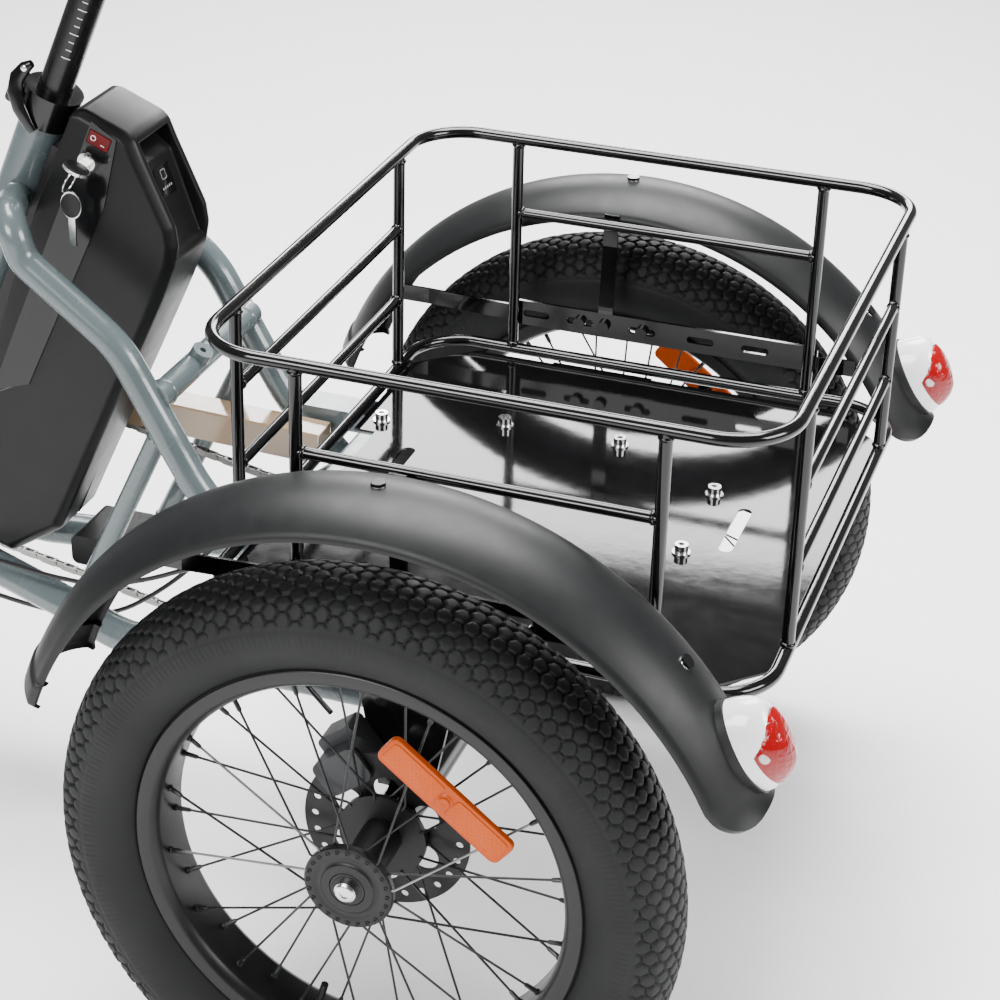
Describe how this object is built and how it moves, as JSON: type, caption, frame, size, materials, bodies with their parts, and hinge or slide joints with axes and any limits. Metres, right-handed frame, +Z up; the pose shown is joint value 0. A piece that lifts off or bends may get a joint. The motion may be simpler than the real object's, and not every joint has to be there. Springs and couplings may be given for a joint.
{
  "type": "adult tricycle",
  "caption": "Electric cargo tricycle with fat tyres, a steel tube basket behind the saddle, a battery behind the seat tube and fenders over every wheel.",
  "frame": {"origin": "on the ground in the middle of the bounding box", "axes": "+X forwards to the front wheel, +Y to the rider's left, +Z up"},
  "size_m": [1.8351, 0.8926, 1.1444],
  "materials": {
    "frame_paint": "gloss slate grey paint",
    "basket_paint": "gloss black powder coat",
    "fender_paint": "satin black paint",
    "tyre": "matt black rubber",
    "rim_black": "satin black anodised",
    "hub_metal": "satin black with machined faces",
    "reflector_amber": "clear amber plastic",
    "bright_steel": "bright plated steel",
    "brake_metal": "satin dark grey cast metal",
    "lamp_white": "gloss white plastic",
    "lamp_red": "clear red plastic",
    "battery_black": "fine textured black plastic",
    "battery_trim": "gloss black plastic",
    "switch_red": "gloss red plastic",
    "key_metal": "plated steel with a black bow",
    "clamp_black": "gloss black anodised",
    "post_black": "satin black anodised",
    "saddle_black": "matt black synthetic leather",
    "black_plastic": "satin black plastic",
    "grip_rubber": "matt black rubber",
    "drive_steel": "oiled steel",
    "crank_black": "satin black",
    "guard_smoked": "smoked brown plastic",
    "cable_black": "satin black cable housing"
  },
  "bodies": {
    "chassis": {"main_frame": "frame_paint", "rear_frame": "frame_paint", "axle_housings": "clamp_black", "rear_calipers": "brake_metal", "fender_rear_left": "fender_paint", "fender_rear_right": "fender_paint", "fender_stays": "basket_paint", "fender_bolts": "bright_steel", "basket_frame": "basket_paint", "basket_floor": "basket_paint", "basket_bolts": "bright_steel", "tail_light_housings": "lamp_white", "tail_light_lenses": "lamp_red", "seat_clamp": "clamp_black", "battery_mount": "black_plastic", "controller_box": "black_plastic", "chain": "drive_steel", "chain_guard": "guard_smoked", "derailleur": "brake_metal", "rear_brake_cables": "cable_black", "headset": "bright_steel"},
    "seat": {"seat_post": "post_black", "saddle_base": "black_plastic", "saddle_cushion": "saddle_black"},
    "clamp_lever": {"seat_clamp_lever": "clamp_black"},
    "battery": {"battery_case": "battery_black", "battery_panel": "battery_trim", "battery_lock": "bright_steel"},
    "power_rocker": {"power_switch": "switch_red"},
    "key": {"battery_keys": "key_metal"},
    "wheel_rear_left": {"tyre_rear_left": "tyre", "spoked_rim_rear_left": "rim_black", "hub_rear_left": "hub_metal", "reflector_rear_left": "reflector_amber"},
    "wheel_rear_right": {"tyre_rear_right": "tyre", "spoked_rim_rear_right": "rim_black", "hub_rear_right": "hub_metal", "reflector_rear_right": "reflector_amber", "drive_axle": "bright_steel"},
    "cassette": {"cassette": "drive_steel"},
    "jockey_upper": {"jockey_upper": "black_plastic"},
    "jockey_lower": {"jockey_lower": "black_plastic"},
    "crank": {"crankset": "crank_black"},
    "pedal_left": {"pedal_left": "black_plastic"},
    "pedal_right": {"pedal_right": "black_plastic"},
    "steering": {"fork": "frame_paint", "fender_front": "fender_paint", "front_caliper": "brake_metal", "handlebar": "post_black", "grips": "grip_rubber", "bar_controls": "black_plastic", "headlight": "black_plastic"},
    "wheel_front": {"tyre_front": "tyre", "spoked_rim_front": "rim_black", "hub_front": "hub_metal", "reflector_front": "reflector_amber"},
    "throttle": {"throttle": "grip_rubber"},
    "brake_lever_left": {"brake_lever_left": "clamp_black"},
    "brake_lever_right": {"brake_lever_right": "clamp_black"},
    "shift_lever": {"shift_lever": "black_plastic"}
  },
  "joints": [
    {"name": "seat_height", "type": "slide", "parent": "chassis", "child": "seat", "axis": [-0.3899, 0, 0.9208], "range_m": [-0.06, 0.1]},
    {"name": "seat_clamp_turn", "type": "hinge", "parent": "chassis", "child": "clamp_lever", "pos_m": [-0.02884, 0.031, 0.81194], "axis": [0.9208, 0, 0.3899], "range_deg": [0, 150]},
    {"name": "battery_slide", "type": "slide", "parent": "chassis", "child": "battery", "axis": [-0.3899, 0, 0.9208], "range_m": [0, 0.06]},
    {"name": "power_rocker_turn", "type": "hinge", "parent": "battery", "child": "power_rocker", "pos_m": [-0.13924, 0.0465, 0.788], "axis": [0.3899, 0, -0.9208], "range_deg": [-6, 6]},
    {"name": "key_turn", "type": "hinge", "parent": "battery", "child": "key", "pos_m": [-0.12503, 0.0465, 0.7647], "axis": [0, 1, 0], "range_deg": [0, 90]},
    {"name": "wheel_rear_left_spin", "type": "hinge", "parent": "chassis", "child": "wheel_rear_left", "pos_m": [-0.55437, 0.395, 0.292], "axis": [0, 1, 0], "continuous": true},
    {"name": "wheel_rear_right_spin", "type": "hinge", "parent": "chassis", "child": "wheel_rear_right", "pos_m": [-0.55437, -0.395, 0.292], "axis": [0, 1, 0], "continuous": true},
    {"name": "crank_spin", "type": "hinge", "parent": "chassis", "child": "crank", "pos_m": [0.12662, 0, 0.355], "axis": [0, 1, 0], "continuous": true},
    {"name": "pedal_left_spin", "type": "hinge", "parent": "crank", "child": "pedal_left", "pos_m": [0.22433, 0.09, 0.23856], "axis": [0, 1, 0], "continuous": true},
    {"name": "pedal_right_spin", "type": "hinge", "parent": "crank", "child": "pedal_right", "pos_m": [0.02892, -0.09, 0.47144], "axis": [0, 1, 0], "continuous": true},
    {"name": "cassette_spin", "type": "hinge", "parent": "chassis", "child": "cassette", "pos_m": [-0.55437, -0.072, 0.292], "axis": [0, 1, 0], "continuous": true},
    {"name": "jockey_upper_spin", "type": "hinge", "parent": "chassis", "child": "jockey_upper", "pos_m": [-0.54638, -0.072, 0.203], "axis": [0, 1, 0], "continuous": true},
    {"name": "jockey_lower_spin", "type": "hinge", "parent": "chassis", "child": "jockey_lower", "pos_m": [-0.51038, -0.072, 0.144], "axis": [0, 1, 0], "continuous": true},
    {"name": "steering_turn", "type": "hinge", "parent": "chassis", "child": "steering", "pos_m": [0.58262, 0, 0.292], "axis": [-0.3746, 0, 0.9272], "range_deg": [-40, 40]},
    {"name": "wheel_front_spin", "type": "hinge", "parent": "steering", "child": "wheel_front", "pos_m": [0.62562, 0, 0.292], "axis": [0, 1, 0], "continuous": true},
    {"name": "throttle_twist", "type": "hinge", "parent": "steering", "child": "throttle", "pos_m": [0.24863, -0.24, 1.114], "axis": [-0.7392, -0.6672, -0.0916], "range_deg": [0, 60], "stiffness_Nm_per_rad": 0.2},
    {"name": "brake_lever_left_pull", "type": "hinge", "parent": "steering", "child": "brake_lever_left", "pos_m": [0.26348, 0.26835, 1.11327], "axis": [-0.068, 0.0614, 0.9958], "range_deg": [0, 15], "stiffness_Nm_per_rad": 2},
    {"name": "brake_lever_right_pull", "type": "hinge", "parent": "steering", "child": "brake_lever_right", "pos_m": [0.26348, -0.26835, 1.11327], "axis": [0.068, 0.0614, -0.9958], "range_deg": [0, 15], "stiffness_Nm_per_rad": 2},
    {"name": "shift_lever_push", "type": "hinge", "parent": "steering", "child": "shift_lever", "pos_m": [0.23851, -0.24913, 1.07659], "axis": [-0.068, -0.0614, 0.9958], "range_deg": [-20, 20], "stiffness_Nm_per_rad": 0.3}
  ],
  "couplings": [
    {"joint": "cassette_spin", "follows": "crank_spin", "ratio": 2.8889},
    {"joint": "jockey_upper_spin", "follows": "crank_spin", "ratio": -5.2},
    {"joint": "jockey_lower_spin", "follows": "crank_spin", "ratio": 5.2}
  ]
}
